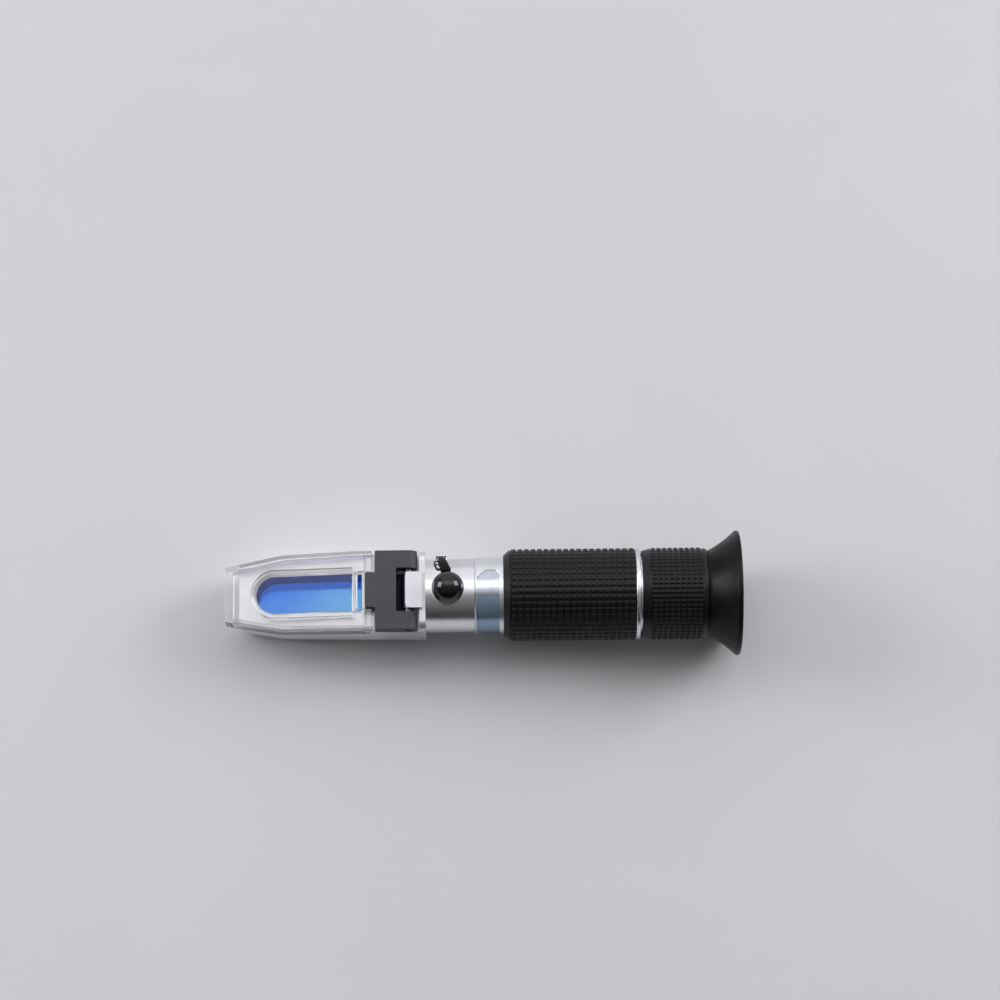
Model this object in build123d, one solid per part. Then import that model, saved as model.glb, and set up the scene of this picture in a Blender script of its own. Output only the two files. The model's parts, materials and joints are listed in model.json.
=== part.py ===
from build123d import *
import math
import os

# Hand-held refractometer, in millimetres.
# X runs along the optical axis from the cover's front lip to the eyecup.
# Y runs across the cover and Z points up through it.
# Every piece is drawn round the optical axis, and the instrument is then laid down on Z = 0.

# Gaps between pieces
clearance = 0.3
running_gap = 0.05
seal_gap = 0.03

# Prism box
box_half_width = 12.5
box_depth = 11.0
box_tip_half_width = 8.55
taper_length = 17.7
knee_inset = 0.7
taper_radius = 30.0
cover_overhang = 4.2
box_lower_radius = 3.5
box_nose_radius = 2.0
face_slope = 9.1
face_rear_height = 5.8
front_frame = 5.6
prism_length = 32.7
prism_half_width = 5.8
prism_proud = 0.2
prism_rear_depth = 7.6
prism_nose_depth = 3.4
prism_toe = 12.0
seal_width = 0.6
seal_depth = 1.6
step_behind_prism = 0.8
channel_half_width = 5.0
channel_top = 3.0
channel_bottom = 6.5
flange_thickness = 1.9
flange_top = 9.4
flange_radius = 3.0

# Hinge
hinge_setback = 14.5
ear_radius = 2.8
block_top = 11.1
pin_radius = 1.2
block_side_inset = 0.15
block_length = 6.6
ear_width = 5.5
notch_reach = 3.7
tongue_shoulder = 6.85
tongue_length = 3.0
tongue_thickness = 4.6
lug_side_gap = 1.2
lug_radius = 2.2
lug_front_reach = 0.9
lug_top = 10.8
lug_corner_radius = 1.6
ear_to_flange = 0.6

# Clear cover
cover_front_top = 5.5
cover_rear_top = 11.0
cover_wall = 2.2
skirt_wall = 1.4
lip_wall = 2.3
skirt_depth = 2.9
pad_margin = 1.7
pad_end_gap = 1.1
cover_notch_overlap = 1.7
cover_notch_gap = 0.4
cover_step_drop = 0.8
cover_setback = 0.1
cover_step_length = 2.3
tang_thickness = 1.6
tang_length = 6.6
tang_side_wall = 0.45
cover_screw_inset = 3.2
cover_screw_reach = 3.4
cover_screw_radius = 0.8
cover_screw_head_radius = 1.35
cover_screw_head_height = 0.8

# Front tube and collar
tube_radius = 11.5
tube_length = 15.2
tube_bore_radius = 9.8
spigot_radius = 8.9
spigot_bore_radius = 8.0
neck_radius = 10.6
neck_overlap = 5.0
collar_length = 9.0
collar_radius = 11.85
collar_chamfer = 0.4
recess_start = 0.6
recess_width = 7.1
recess_depth = 0.35
recess_back_angle = 31.0
recess_sweep = 156.0
recess_front_cut = 2.9
recess_rear_cut = 1.1
recess_tip_angle = 20.0

# Calibration screw, cap and strap
boss_setback = 7.0
boss_radius = 5.2
boss_rise = 0.8
boss_spigot_radius = 3.6
boss_spigot_height = 1.7
screw_radius = 1.45
screw_head_radius = 2.1
screw_head_height = 1.0
screw_slot_width = 0.5
cap_radius = 5.0
cap_centre_lift = 0.7
cap_wall_gap = 0.15
cap_roof_gap = 0.4
strap_thickness = 0.7
strap_wide = 3.1
strap_narrow = 1.7
strap_end_angle = 72.0
strap_shift = 2.4
strap_root_thickness = 0.9
staple_angle = 64.0
staple_wire_radius = 0.3
staple_foot_depth = 1.0

# Objective cell and temperature compensation
cell_length = 7.0
cell_radius = 8.9
cell_flat = 8.2
cell_bore_radius = 6.6
cell_lip_radius = 5.6
cell_lip = 1.6
crown_edge = 2.0
crown_front_bulge = 1.0
joint_bulge = 0.8
flint_edge = 1.6
strip_thickness = 0.3
strip_half_width = 2.2
strip_tail = 12.5
strip_pad_length = 7.8
strip_screw_radius = 0.5
strip_screw_head_radius = 1.0
strip_screw_head_height = 0.6
strip_screw_spacing = 3.0
spring_half_width = 1.4
spring_thickness = 0.2

# Barrel, grip and trim
barrel_radius = 12.2
barrel_bore_radius = 11.0
barrel_tail_radius = 11.9
barrel_tail_length = 13.7
web_gap = 1.0
grip_length = 41.0
grip_wall = 2.1
grip_rim_start_wall = 0.2
grip_rim_length = 2.2
grip_rib_count = 43
rib_groove_width = 0.45
rib_groove_depth = 0.5
trim_length = 1.5
trim_wall = 2.1
trim_chamfer = 0.3
barrel_seal_section = 0.9
baffle_start_gap = 1.0
baffle_length = 13.0
baffle_wall = 0.8
baffle_stop_radius = 6.5
reticle_to_shell = 2.5
reticle_thickness = 1.2
reticle_shoulder = 2.8
reticle_window_radius = 8.2
retainer_length = 2.2

# Eyepiece
focus_gap = 0.6
focus_length = 20.2
focus_radius = 14.3
focus_front_rim = 2.8
focus_rear_rim = 1.6
focus_rib_count = 60
focus_rim_chamfer = 0.4
shell_radius = 10.9
shell_bore_radius = 9.5
shell_lead = 6.0
shell_skirt_wall = 0.7
throat_radius = 8.8
throat_length = 5.5
spigot_wall = 2.6
spigot_length = 3.8
focus_seal_section = 0.9
focus_seal_setback = 3.55
lens_seat = 0.35
field_edge = 2.0
field_bulge = 1.3
eye_edge = 2.4
eye_bulge = 1.4
field_setback = 7.25
spacer_wall = 0.9
lens_retainer_length = 2.0
eyecup_length = 10.3
eyecup_neck_radius = 13.4
eyecup_radius = 19.5
eyecup_lip_radius = 0.9

# Places along the optical axis
box_front = cover_overhang
prism_front = box_front + front_frame
prism_rear = prism_front + prism_length
shelf_start = prism_rear + step_behind_prism
pin_x = prism_rear + hinge_setback
block_half_width = box_half_width - block_side_inset
notch_half_width = block_half_width - ear_width
lug_half_width = notch_half_width - lug_side_gap
tongue_half_width = block_half_width - tongue_shoulder
pin_z = block_top - ear_radius
block_bottom = pin_z - ear_radius
shelf_height = block_bottom - clearance
notch_front = pin_x - notch_reach
block_front = notch_front - block_length
tongue_front = block_front - tongue_length
flange_front = pin_x + ear_radius + ear_to_flange
tube_start = flange_front + flange_thickness
cover_rear = shelf_start + cover_setback
cover_step_end = cover_rear + cover_step_length
tang_end = cover_step_end + tang_length
cover_notch_front = prism_rear - cover_notch_overlap
boss_x = tube_start + boss_setback
boss_height = tube_radius + boss_rise
collar_start = tube_start + tube_length
barrel_start = collar_start + collar_length
neck_end = barrel_start + neck_overlap
trim_start = barrel_start + grip_length
barrel_shoulder = trim_start + trim_length
barrel_end = barrel_shoulder + barrel_tail_length
focus_start = barrel_shoulder + focus_gap
focus_end = focus_start + focus_length
shell_start = focus_start - shell_lead
retainer_end = shell_start - reticle_to_shell
reticle_x = retainer_end - retainer_length - reticle_thickness
shell_web_start = barrel_end + web_gap
throat_start = focus_end + spigot_length - throat_length
seal_front = shell_start + focus_seal_setback
seal_rear = seal_front + focus_seal_section
total_length = focus_end + eyecup_length
cell_front = boss_x - cell_length / 2
cell_rear = boss_x + cell_length / 2
rubber_bore = barrel_tail_radius + clearance + shell_skirt_wall

# The way that the instrument lies: on the lower front edge of the box and on the eyecup's rim
nose_x = box_front + box_nose_radius
nose_z = box_nose_radius - box_depth
rim_x = total_length - eyecup_lip_radius
rim_z = eyecup_lip_radius - eyecup_radius
rim_distance = math.hypot(rim_x - nose_x, nose_z - rim_z)
rim_fall = math.atan2(nose_z - rim_z, rim_x - nose_x)
radius_turn = math.asin((box_nose_radius - eyecup_lip_radius) / rim_distance)
lie_angle = math.degrees(rim_fall - radius_turn)


def turned(*points):
    """Solid of revolution round the optical axis from (x, radius) points."""
    return revolve(make_face(Polyline(*points, close=True)), axis=Axis.X)


def tube(x_start, x_end, outer, inner):
    return turned((x_start, inner), (x_end, inner), (x_end, outer), (x_start, outer))


def side_profile(half_width, *points):
    """Solid of an XZ outline, as deep as twice the half width and centred on the axis."""
    outline = Plane.XZ * make_face(Polyline(*points, close=True))
    return extrude(outline, half_width, both=True)


def block(x_span, y_span, z_span):
    size = [high - low for low, high in (x_span, y_span, z_span)]
    middle = [(high + low) / 2 for low, high in (x_span, y_span, z_span)]
    return Pos(*middle) * Box(*size)


def pillar(x, y, z_low, z_high, radius):
    height = z_high - z_low
    return Pos(x, y, z_low) * Cylinder(radius, height, align=(Align.CENTER, Align.CENTER, Align.MIN))


def cross_bar(x, z, radius, half_width):
    """Cylinder along Y."""
    return Pos(x, 0, z) * Rot(90, 0, 0) * Cylinder(radius, 2 * half_width)


def face_height(x):
    """Height of the sloping prism face."""
    return face_rear_height - (prism_rear - x) * math.tan(math.radians(face_slope))


def cover_height(x):
    """Height of the cover's sloping top."""
    return cover_front_top + (cover_rear_top - cover_front_top) * x / cover_rear


def box_plan(x_start, x_end, inset):
    """Plan outline that tapers to the front, set in from the full width."""
    knee = box_half_width - knee_inset - inset
    tip = box_tip_half_width - inset + (knee + inset - box_tip_half_width) * x_start / taper_length
    wide = box_half_width - inset
    half = [(x_start, tip), (taper_length, knee), (x_end, wide)]
    mirrored = [(x, -y) for x, y in reversed(half)]
    outline = make_face(Polyline(*half, *mirrored, close=True))
    knees = [v for v in outline.vertices() if abs(v.X - taper_length) < clearance]
    return fillet(knees, taper_radius)


def window_plan(x_start, x_end, half_width):
    """Outline with a half-round front end and a square rear end."""
    middle = x_start + half_width
    corners = [(middle, half_width), (x_end, half_width), (x_end, -half_width), (middle, -half_width)]
    edge = Polyline(*corners)
    nose = ThreePointArc((middle, -half_width), (x_start, 0), (middle, half_width))
    return make_face(edge + nose)


def tall(plan):
    """Plan outline raised through the whole height of the box."""
    return extrude(Pos(0, 0, -box_depth) * plan, 2 * box_depth + block_top)


def lens(x_edge, edge, front_bulge, rear_bulge, radius):
    """Round lens whose rim starts at x_edge; a negative bulge is hollow."""
    rear = x_edge + edge

    def surface(x, bulge, sign):
        if bulge == 0:
            return Line((x, 0), (x, radius))
        ball = (radius**2 + bulge**2) / (2 * bulge)
        half_way = radius / 2
        dip = ball - math.copysign(math.sqrt(ball**2 - half_way**2), ball)
        return ThreePointArc((x + sign * bulge, 0), (x + sign * (bulge - dip), half_way), (x, radius))

    front_curve = surface(x_edge, front_bulge, -1)
    rear_curve = surface(rear, rear_bulge, 1)
    rim = Line((x_edge, radius), (rear, radius))
    axis_line = Line((x_edge - front_bulge, 0), (rear + rear_bulge, 0))
    return revolve(make_face(front_curve + rim + rear_curve + axis_line), axis=Axis.X)


def ribbed(x_start, x_end, outer, inner, count, groove_width, groove_depth):
    """Ring with grooves that run along the axis."""
    groove = Rectangle(2 * groove_depth, groove_width)
    section = Circle(outer) - PolarLocations(outer, count) * groove - Circle(inner)
    return extrude(Plane.YZ.offset(x_start) * section, x_end - x_start)


def pillar_along_axis(x_start, x_end, radius):
    return Pos(x_start, 0, 0) * Rot(0, 90, 0) * Cylinder(
        radius, x_end - x_start, align=(Align.CENTER, Align.CENTER, Align.MIN)
    )


def sector_edges(back_angle, sweep, radius):
    """Pie slice in YZ, from back_angle behind the top and round over the front; angles count from +Z."""
    angles = [math.radians(back_angle - sweep * n / 4) for n in range(5)]
    rim = [(radius * math.sin(a), radius * math.cos(a)) for a in angles]
    return Polyline((0, 0), *rim, close=True)


parts = {}

# Prism box: tapered casting with a sloping face, a shelf under the hinge, a flange and the hinge lug
box_outline = side_profile(
    box_half_width + 1,
    (box_front, -box_depth),
    (flange_front, -box_depth),
    (flange_front, shelf_height),
    (shelf_start, shelf_height),
    (shelf_start, face_height(shelf_start)),
    (box_front, face_height(box_front)),
)
box = box_outline & tall(box_plan(box_front, flange_front, 0))
ledge_start = skirt_depth + clearance
skirt_rear = cover_step_end + clearance
above_ledge = side_profile(
    box_half_width + 1,
    (0, face_height(0) - ledge_start),
    (skirt_rear, face_height(skirt_rear) - ledge_start),
    (skirt_rear, block_top),
    (0, block_top),
)
skirt_inset = skirt_wall + clearance
skirt_room = tall(box_plan(0, skirt_rear, -1)) - tall(box_plan(0, skirt_rear + 1, skirt_inset))
box = box - (above_ledge & skirt_room)
low_edges = box.edges().group_by(Axis.Z)[0]
box = fillet([e for e in low_edges if abs(e.center().Y) > running_gap], box_lower_radius)
nose_edge = box.edges().group_by(Axis.Z)[0].sort_by(Axis.X)[0]
box = fillet(nose_edge, box_nose_radius)
flange_section = Rectangle(2 * box_half_width, flange_top + box_depth)
flange_corners = flange_section.vertices()
flange_section = fillet(flange_corners, flange_radius)
flange_plane = Plane.YZ.offset(flange_front) * Pos(0, (flange_top - box_depth) / 2)
flange = extrude(flange_plane * flange_section, flange_thickness)


def lug_block(reach, z_low, z_high):
    """Block from the flange to its rounded front corners ahead of the pin."""
    rear = flange_front + flange_thickness / 2
    solid = block((pin_x - reach, rear), (-lug_half_width, lug_half_width), (z_low, z_high))
    fronts = [e for e in solid.edges().filter_by(Axis.Z) if e.center().X < pin_x]
    return fillet(fronts, lug_corner_radius)


lug_bar = cross_bar(pin_x, pin_z, lug_radius, lug_half_width) & lug_block(lug_radius, 0, block_top)
box = box + flange + lug_block(lug_front_reach, shelf_height - 0.5, lug_top) + lug_bar


def prism_side(front, lift):
    """Side outline of the prism: sloping face, square rear face and a slanting toe."""
    return side_profile(
        box_half_width,
        (front, face_height(front) + lift),
        (prism_rear, face_height(prism_rear) + lift),
        (prism_rear, -prism_rear_depth),
        (front + prism_toe, -prism_rear_depth),
        (front, -prism_nose_depth),
    )


pocket_front = prism_front - seal_width
pocket_plan = window_plan(pocket_front, prism_rear, prism_half_width + seal_width)
box = box - (tall(pocket_plan) & prism_side(pocket_front, box_depth))
flange_middle = flange_front + flange_thickness / 2
channel = block(
    (prism_rear - clearance, flange_middle),
    (-channel_half_width, channel_half_width),
    (-channel_bottom, channel_top),
)
box = box - channel - pillar_along_axis(flange_front, tube_start + clearance, spigot_radius)
parts["prism_housing"] = box - cross_bar(pin_x, pin_z, pin_radius + running_gap, box_half_width)

# Measuring prism in its pocket, with a light seal round the top of it
prism_plan = window_plan(prism_front, prism_rear, prism_half_width)
parts["main_prism"] = tall(prism_plan) & prism_side(prism_front, prism_proud)
seal_band = prism_side(pocket_front, 0) - Pos(0, 0, -seal_depth) * prism_side(pocket_front, 0)
parts["prism_seal"] = (tall(pocket_plan) - tall(prism_plan)) & seal_band

# Clear cover: thin sloping roof with skirts, a pad that lies on the prism and a tang for the block
skirt_bottom = -skirt_depth
cover_side = side_profile(
    box_half_width + 1,
    (0, face_height(0) + skirt_bottom),
    (cover_step_end, face_height(cover_step_end) + skirt_bottom),
    (cover_step_end, cover_rear_top - cover_step_drop),
    (cover_rear, cover_rear_top - cover_step_drop),
    (cover_rear, cover_rear_top),
    (0, cover_front_top),
)
cover = cover_side & tall(box_plan(0, cover_step_end, 0))
hollow_side = side_profile(
    box_half_width + 1,
    (lip_wall, -box_depth),
    (cover_step_end, -box_depth),
    (cover_step_end, cover_height(cover_rear) - cover_wall),
    (lip_wall, cover_height(lip_wall) - cover_wall),
)
hollow = hollow_side & tall(box_plan(0, cover_step_end + 1, skirt_wall))
pad_rear = cover_notch_front - pad_end_gap
pad_plan = window_plan(prism_front - pad_margin, pad_rear, prism_half_width + pad_margin)
pad_lift = prism_proud + clearance
pad_side = side_profile(
    box_half_width,
    (0, face_height(0) + pad_lift),
    (pad_rear, face_height(pad_rear) + pad_lift),
    (pad_rear, cover_height(pad_rear) - cover_wall / 2),
    (0, cover_height(0) - cover_wall / 2),
)
cover_notch_half = tongue_half_width + cover_notch_gap
tail = block(
    (shelf_start + clearance, cover_step_end),
    (-box_half_width + skirt_wall, box_half_width - skirt_wall),
    (block_bottom, cover_rear_top - cover_step_drop - cover_wall / 2),
)
tang_half_width = block_half_width - tang_side_wall
tang = block(
    (cover_step_end - skirt_wall, tang_end),
    (-tang_half_width, tang_half_width),
    (block_bottom, block_bottom + tang_thickness),
)
cover_notch = block(
    (cover_notch_front, tang_end + clearance),
    (-cover_notch_half, cover_notch_half),
    (-box_depth, 2 * block_top),
)
cover = cover - hollow + (tall(pad_plan) & pad_side) + tail + tang - cover_notch
screw_x = tang_end - cover_screw_inset
screw_y = tang_half_width - cover_screw_inset / 2 - cover_screw_head_radius / 2


def cover_screw(y):
    """Flat-headed screw whose head is flush with the underside of the tang."""
    head = Pos(screw_x, y, block_bottom) * Cone(
        cover_screw_head_radius,
        cover_screw_radius,
        cover_screw_head_height,
        align=(Align.CENTER, Align.CENTER, Align.MIN),
    )
    return head + pillar(screw_x, y, block_bottom, block_bottom + cover_screw_reach, cover_screw_radius)


screws = [cover_screw(side * screw_y) for side in (-1, 1)]
parts["cover_plate"] = cover - screws
parts["cover_screws"] = screws

# Hinge block: tongue, body over the tang and two ears round the pin
block_body = block(
    (block_front, pin_x),
    (-block_half_width, block_half_width),
    (block_bottom, block_top),
)
tongue = block(
    (tongue_front, block_front + clearance),
    (-tongue_half_width, tongue_half_width),
    (block_top - tongue_thickness, block_top),
)
ears = cross_bar(pin_x, pin_z, ear_radius, block_half_width)
ear_notch = block(
    (notch_front, pin_x + 2 * ear_radius),
    (-notch_half_width, notch_half_width),
    (0, 2 * block_top),
)
hinge_body = block_body + tongue + ears - ear_notch - tang
corner_edges = [
    e
    for e in hinge_body.edges().filter_by(Axis.Z)
    if abs(e.center().X - tongue_front) < 0.01 or abs(abs(e.center().Y) - block_half_width) < 0.01
]
hinge_body = chamfer(corner_edges, clearance)
parts["hinge_block"] = hinge_body - cross_bar(pin_x, pin_z, pin_radius, box_half_width) - screws
parts["hinge_pin"] = cross_bar(pin_x, pin_z, pin_radius, block_half_width - clearance)

# Front tube with its spigot in the flange and its neck in the barrel
front_tube = turned(
    (flange_front, spigot_bore_radius),
    (flange_front, spigot_radius),
    (tube_start, spigot_radius),
    (tube_start, tube_radius),
    (collar_start, tube_radius),
    (collar_start, neck_radius),
    (neck_end, neck_radius),
    (neck_end, tube_bore_radius),
    (tube_start, tube_bore_radius),
    (tube_start, spigot_bore_radius),
)
screw_hole = pillar(boss_x, 0, 0, block_top * 2, screw_radius + running_gap)
strip_rear = cell_rear + strip_tail
strip_screw_places = [strip_rear - strip_screw_spacing * (n + 0.5) for n in range(2)]
pad_floor = -math.sqrt(tube_bore_radius**2 - strip_half_width**2) + seal_gap
pad_roof = pad_floor + strip_thickness


def strip_screw(x):
    """Small screw through the strip into the wall of the neck."""
    head = pillar(x, 0, pad_roof, pad_roof + strip_screw_head_height, strip_screw_head_radius)
    return head + pillar(x, 0, running_gap - neck_radius, pad_roof, strip_screw_radius)


strip_screws = [strip_screw(x) for x in strip_screw_places]
parts["front_tube"] = front_tube - screw_hole - strip_screws
parts["bimetal_screws"] = strip_screws

# Collar with a bare recessed band whose far corners are cut off
collar = turned(
    (collar_start, neck_radius),
    (barrel_start, neck_radius),
    (barrel_start, collar_radius),
    (collar_start + collar_chamfer, collar_radius),
    (collar_start, collar_radius - collar_chamfer),
)
recess_from = collar_start + recess_start
recess_to = recess_from + recess_width
recess_ring = tube(recess_from, recess_to, 2 * collar_radius, collar_radius - recess_depth)
recess_plan = make_face(
    Polyline(
        (recess_from, -collar_radius / 2),
        (recess_from, -recess_front_cut),
        (recess_from + recess_front_cut, 0),
        (recess_to - recess_rear_cut, 0),
        (recess_to, -recess_rear_cut),
        (recess_to, -collar_radius / 2),
        close=True,
    )
)
recess_tip = Rot(-recess_back_angle, 0, 0) * extrude(Pos(0, 0, collar_radius / 2) * recess_plan, collar_radius)
recess_slice = make_face(
    sector_edges(recess_back_angle - recess_tip_angle, recess_sweep - recess_tip_angle, 2 * collar_radius)
)
recess_sector = extrude(Plane.YZ.offset(recess_from) * recess_slice, recess_width)
parts["neck_collar"] = collar - (recess_ring & recess_tip) - (recess_ring & recess_sector)

# Calibration boss, its screw and the ball-shaped cap
tube_solid = pillar_along_axis(tube_start, collar_start, tube_radius)
spigot_top = boss_height + boss_spigot_height
boss = pillar(boss_x, 0, 0, boss_height, boss_radius) - tube_solid
boss = boss + pillar(boss_x, 0, boss_height - clearance, spigot_top, boss_spigot_radius)
head_bottom = spigot_top - screw_head_height - clearance
head_room = pillar(boss_x, 0, head_bottom - seal_gap, 2 * spigot_top, screw_head_radius + 2 * running_gap)
parts["calibration_boss"] = boss - screw_hole - head_room
screw_head = pillar(boss_x, 0, head_bottom, head_bottom + screw_head_height, screw_head_radius)
screw_slot = block(
    (boss_x - screw_head_radius, boss_x + screw_head_radius),
    (-screw_slot_width / 2, screw_slot_width / 2),
    (head_bottom + screw_head_height / 2, spigot_top),
)
screw_tip = cell_flat + clearance
screw_shank = pillar(boss_x, 0, screw_tip, head_bottom, screw_radius)
parts["calibration_screw"] = screw_head + screw_shank - screw_slot
cap_bottom = boss_height + cap_wall_gap
cap_centre = cap_bottom + cap_centre_lift
cap_ball = Pos(boss_x, 0, cap_centre) * Sphere(cap_radius)
cap_body = cap_ball & pillar(boss_x, 0, cap_bottom, cap_centre + 2 * cap_radius, 2 * cap_radius)
cap_room = pillar(boss_x, 0, 0, spigot_top + cap_roof_gap, boss_spigot_radius + cap_wall_gap)
parts["calibration_cap"] = cap_body - cap_room

# Strap from the cap round the tube to a wire staple
strap_inner = tube_radius + cap_wall_gap
strap_outer = strap_inner + strap_thickness
strap_start_y = boss_radius + clearance
strap_start_angle = math.degrees(math.asin(strap_start_y / strap_inner))
strap_middle_angle = (strap_start_angle + strap_end_angle) / 2
strap_reach = strap_inner * math.radians(strap_end_angle - strap_start_angle) / 2
strap_x = boss_x - strap_shift / 4
strap_end_x = boss_x - strap_shift
strap_plan = make_face(
    Polyline(
        (strap_x - strap_wide / 2, -strap_reach),
        (strap_x + strap_wide / 2, -strap_reach),
        (strap_end_x + strap_narrow / 2, strap_reach),
        (strap_end_x - strap_narrow / 2, strap_reach),
        close=True,
    )
)
strap_lean = Rot(-strap_middle_angle, 0, 0)
strap_tool = strap_lean * extrude(Pos(0, 0, tube_radius / 2) * strap_plan, tube_radius)
strap_ring = tube(tube_start, collar_start, strap_outer, strap_inner)
strap_foot_z = strap_inner * math.cos(math.radians(strap_start_angle))
strap_root = block(
    (strap_x - strap_wide / 2, strap_x + strap_wide / 2),
    (strap_start_y, strap_start_y + strap_root_thickness),
    (strap_foot_z - strap_thickness, cap_centre),
)
strap_root = strap_root - pillar_along_axis(tube_start, collar_start, strap_inner)
parts["cap_strap"] = (strap_ring & strap_tool) + strap_root
staple_half = strap_narrow / 2 + 2 * staple_wire_radius
staple_top = strap_outer + cap_wall_gap + staple_wire_radius
staple_path = Polyline(
    (-staple_half, 0, tube_radius - staple_foot_depth),
    (-staple_half, 0, staple_top),
    (staple_half, 0, staple_top),
    (staple_half, 0, tube_radius - staple_foot_depth),
)
staple_start = Plane(origin=staple_path @ 0, z_dir=(0, 0, 1))
staple = sweep(staple_start * Circle(staple_wire_radius), path=staple_path, transition=Transition.ROUND)
staple = Pos(strap_end_x + clearance, 0, 0) * Rot(-staple_angle, 0, 0) * staple
parts["strap_staple"] = staple
parts["front_tube"] = parts["front_tube"] - staple

# Objective cell with its cemented pair, the bimetal strip under it and the leaf spring
cell = tube(cell_front, cell_rear, cell_radius, cell_lip_radius)
cell_seat = cell_front + cell_lip
cell = cell - tube(cell_seat, cell_rear + 1, cell_bore_radius, cell_lip_radius / 2)
cell_flats = block((cell_front, cell_rear), (-cell_radius, cell_radius), (-cell_flat, cell_flat))
parts["objective_cell"] = cell & cell_flats
crown_x = cell_seat + lens_seat
flint_x = crown_x + crown_edge
flint_end = flint_x + flint_edge
parts["crown_lens"] = lens(crown_x, crown_edge, crown_front_bulge, joint_bulge, cell_bore_radius)
parts["flint_lens"] = lens(flint_x, flint_edge, -joint_bulge, 0, cell_bore_radius)
parts["cell_ring"] = tube(flint_end, cell_rear, cell_bore_radius, cell_lip_radius)
strip_top = -cell_flat - seal_gap
strip_bend = strip_rear - strip_pad_length
parts["bimetal_strip"] = side_profile(
    strip_half_width,
    (cell_front + cell_lip, strip_top),
    (cell_rear, strip_top),
    (strip_bend, pad_roof),
    (strip_rear, pad_roof),
    (strip_rear, pad_floor),
    (strip_bend, pad_floor),
    (cell_rear, strip_top - strip_thickness),
    (cell_front + cell_lip, strip_top - strip_thickness),
) - strip_screws
spring_floor = -math.sqrt(tube_bore_radius**2 - spring_half_width**2) + seal_gap
spring_roof = strip_top - strip_thickness - seal_gap
spring_rise = spring_roof - spring_floor
parts["cell_spring"] = side_profile(
    spring_half_width,
    (cell_front + cell_lip, spring_floor),
    (boss_x - spring_rise, spring_roof),
    (boss_x + spring_rise, spring_roof),
    (cell_rear - cell_lip, spring_floor),
    (cell_rear - cell_lip - spring_thickness, spring_floor),
    (boss_x + spring_rise - spring_thickness, spring_roof - spring_thickness),
    (boss_x - spring_rise + spring_thickness, spring_roof - spring_thickness),
    (cell_front + cell_lip + spring_thickness, spring_floor),
)

# Barrel with the shoulder for the scale glass, and what it holds
parts["main_barrel"] = turned(
    (barrel_start, neck_radius),
    (neck_end, neck_radius),
    (neck_end, barrel_bore_radius),
    (reticle_x - reticle_shoulder, barrel_bore_radius),
    (reticle_x - reticle_shoulder, reticle_window_radius),
    (reticle_x, reticle_window_radius),
    (reticle_x, barrel_bore_radius),
    (barrel_end, barrel_bore_radius),
    (barrel_end, barrel_tail_radius),
    (barrel_shoulder, barrel_tail_radius),
    (barrel_shoulder, barrel_radius),
    (barrel_start, barrel_radius),
)
barrel_seal_end = neck_end + barrel_seal_section
parts["barrel_seal"] = tube(
    neck_end, barrel_seal_end, barrel_bore_radius, barrel_bore_radius - barrel_seal_section
)
baffle_start = barrel_seal_end + baffle_start_gap
parts["light_baffle"] = turned(
    (baffle_start, baffle_stop_radius),
    (baffle_start + baffle_wall, baffle_stop_radius),
    (baffle_start + baffle_wall, barrel_bore_radius - baffle_wall),
    (baffle_start + baffle_length, barrel_bore_radius - baffle_wall),
    (baffle_start + baffle_length, barrel_bore_radius),
    (baffle_start, barrel_bore_radius),
)
glass_radius = barrel_bore_radius - seal_gap
parts["reticle_disc"] = pillar_along_axis(reticle_x, reticle_x + reticle_thickness, glass_radius)
parts["reticle_retainer"] = tube(
    reticle_x + reticle_thickness, retainer_end, barrel_bore_radius, reticle_window_radius
)

# Rubber grip with ribs between plain rims, and the bright ring behind it
grip_radius = barrel_radius + grip_wall
grip_rim_start_radius = barrel_radius + grip_rim_start_wall
trim_radius = barrel_radius + trim_wall
grip_front = turned(
    (barrel_start, barrel_radius),
    (barrel_start + grip_rim_length, barrel_radius),
    (barrel_start + grip_rim_length, grip_radius - rib_groove_depth),
    (barrel_start, grip_rim_start_radius),
)
grip_ribs = ribbed(
    barrel_start + grip_rim_length,
    trim_start,
    grip_radius,
    barrel_radius,
    grip_rib_count,
    rib_groove_width,
    rib_groove_depth,
)
parts["grip_sleeve"] = grip_front + grip_ribs
parts["trim_ring"] = turned(
    (trim_start, barrel_radius),
    (barrel_shoulder, barrel_radius),
    (barrel_shoulder, trim_radius - trim_chamfer),
    (barrel_shoulder - trim_chamfer, trim_radius),
    (trim_start + trim_chamfer, trim_radius),
    (trim_start, trim_radius - trim_chamfer),
)

# Eyepiece body: inner tube in the barrel, web, skirt over the barrel's tail and spigot for the eyecup
groove_floor = shell_radius - focus_seal_section
spigot_outer = throat_radius + spigot_wall
parts["eyepiece_shell"] = turned(
    (shell_start, shell_bore_radius),
    (throat_start, shell_bore_radius),
    (throat_start, throat_radius),
    (focus_end + spigot_length, throat_radius),
    (focus_end + spigot_length, spigot_outer),
    (focus_end, spigot_outer),
    (focus_end, rubber_bore),
    (focus_start, rubber_bore),
    (focus_start, rubber_bore - shell_skirt_wall),
    (shell_web_start, rubber_bore - shell_skirt_wall),
    (shell_web_start, shell_radius),
    (seal_rear + seal_gap, shell_radius),
    (seal_rear + seal_gap, groove_floor),
    (seal_front - seal_gap, groove_floor),
    (seal_front - seal_gap, shell_radius),
    (shell_start, shell_radius),
)
seal_bore = groove_floor + seal_gap
parts["focus_seal"] = tube(seal_front, seal_rear, seal_bore + focus_seal_section, seal_bore)
focus_ribs_start = focus_start + focus_front_rim
focus_ribs_end = focus_end - focus_rear_rim
focus_front = turned(
    (focus_start, rubber_bore),
    (focus_ribs_start, rubber_bore),
    (focus_ribs_start, focus_radius - rib_groove_depth),
    (focus_start + focus_rim_chamfer, focus_radius - rib_groove_depth),
    (focus_start, focus_radius - rib_groove_depth - focus_rim_chamfer),
)
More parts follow.
